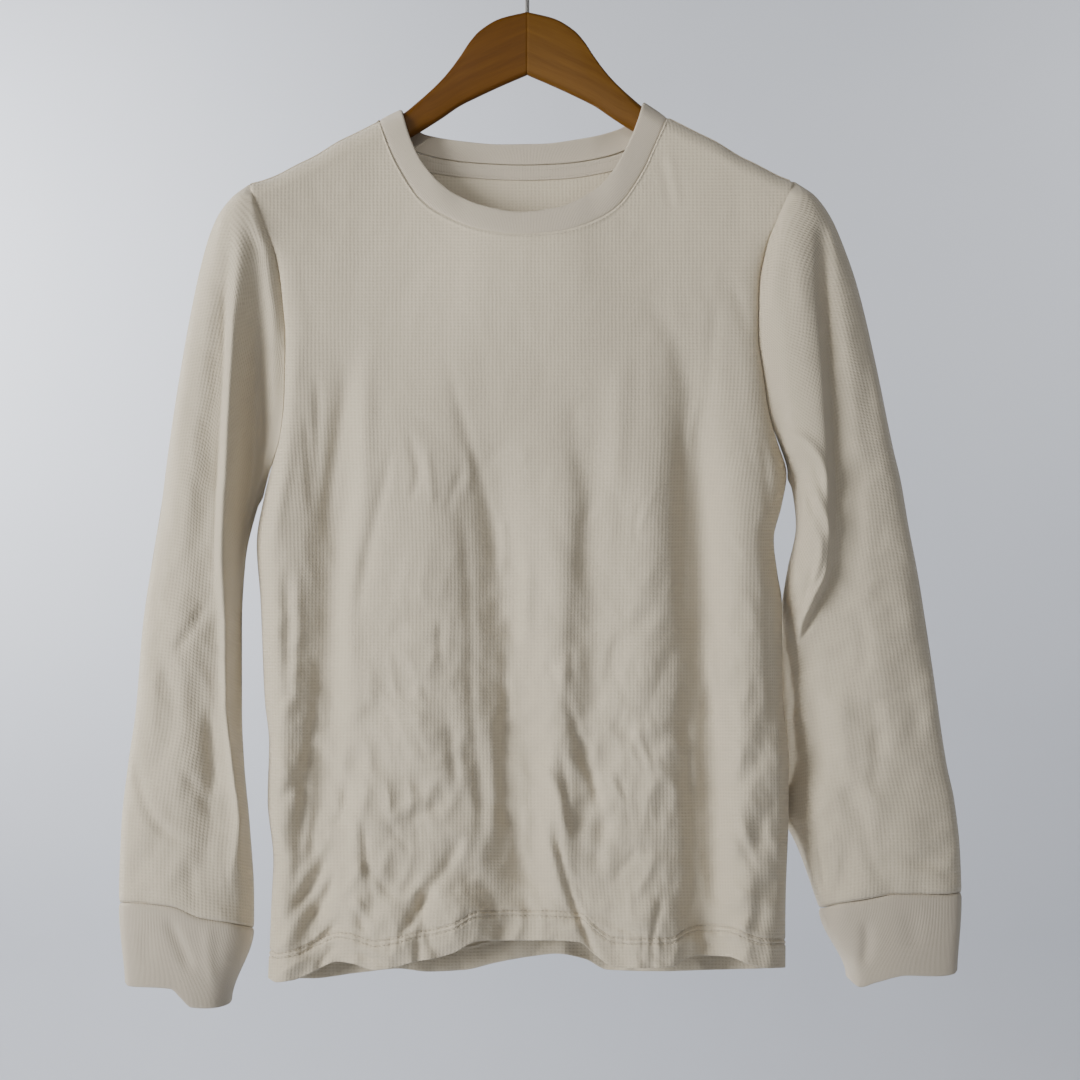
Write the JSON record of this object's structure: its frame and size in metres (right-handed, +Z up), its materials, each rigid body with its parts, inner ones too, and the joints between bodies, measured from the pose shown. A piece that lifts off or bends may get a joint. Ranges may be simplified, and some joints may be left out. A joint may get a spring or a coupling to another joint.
{
  "type": "thermal base layer top on a wooden hanger",
  "caption": "Long-sleeved crew-neck waffle-knit thermal top hanging on a contoured wooden hanger with a wire hook.",
  "frame": {"origin": "the inside top of the hook's crook, where a rail or nail carries the hanger", "axes": "+Z up, -Y towards the viewer in front of the top, +X to the right as seen from the front"},
  "size_m": [0.5819, 0.0558, 0.7637],
  "materials": {
    "waffle_knit": "matt cream waffle knit",
    "plain_knit": "matt cream plain knit",
    "stained_wood": "satin brown stained wood",
    "hook_steel": "dull dark steel wire"
  },
  "bodies": {
    "root": {"body_front": "waffle_knit", "body_back": "waffle_knit", "sleeve_left": "waffle_knit", "sleeve_right": "waffle_knit", "neckband": "plain_knit", "back_neck_tape": "plain_knit", "cuff_left": "plain_knit", "cuff_right": "plain_knit", "hanger_arm_left": "stained_wood", "hanger_arm_right": "stained_wood", "hanger_hook": "hook_steel"}
  },
  "joints": []
}
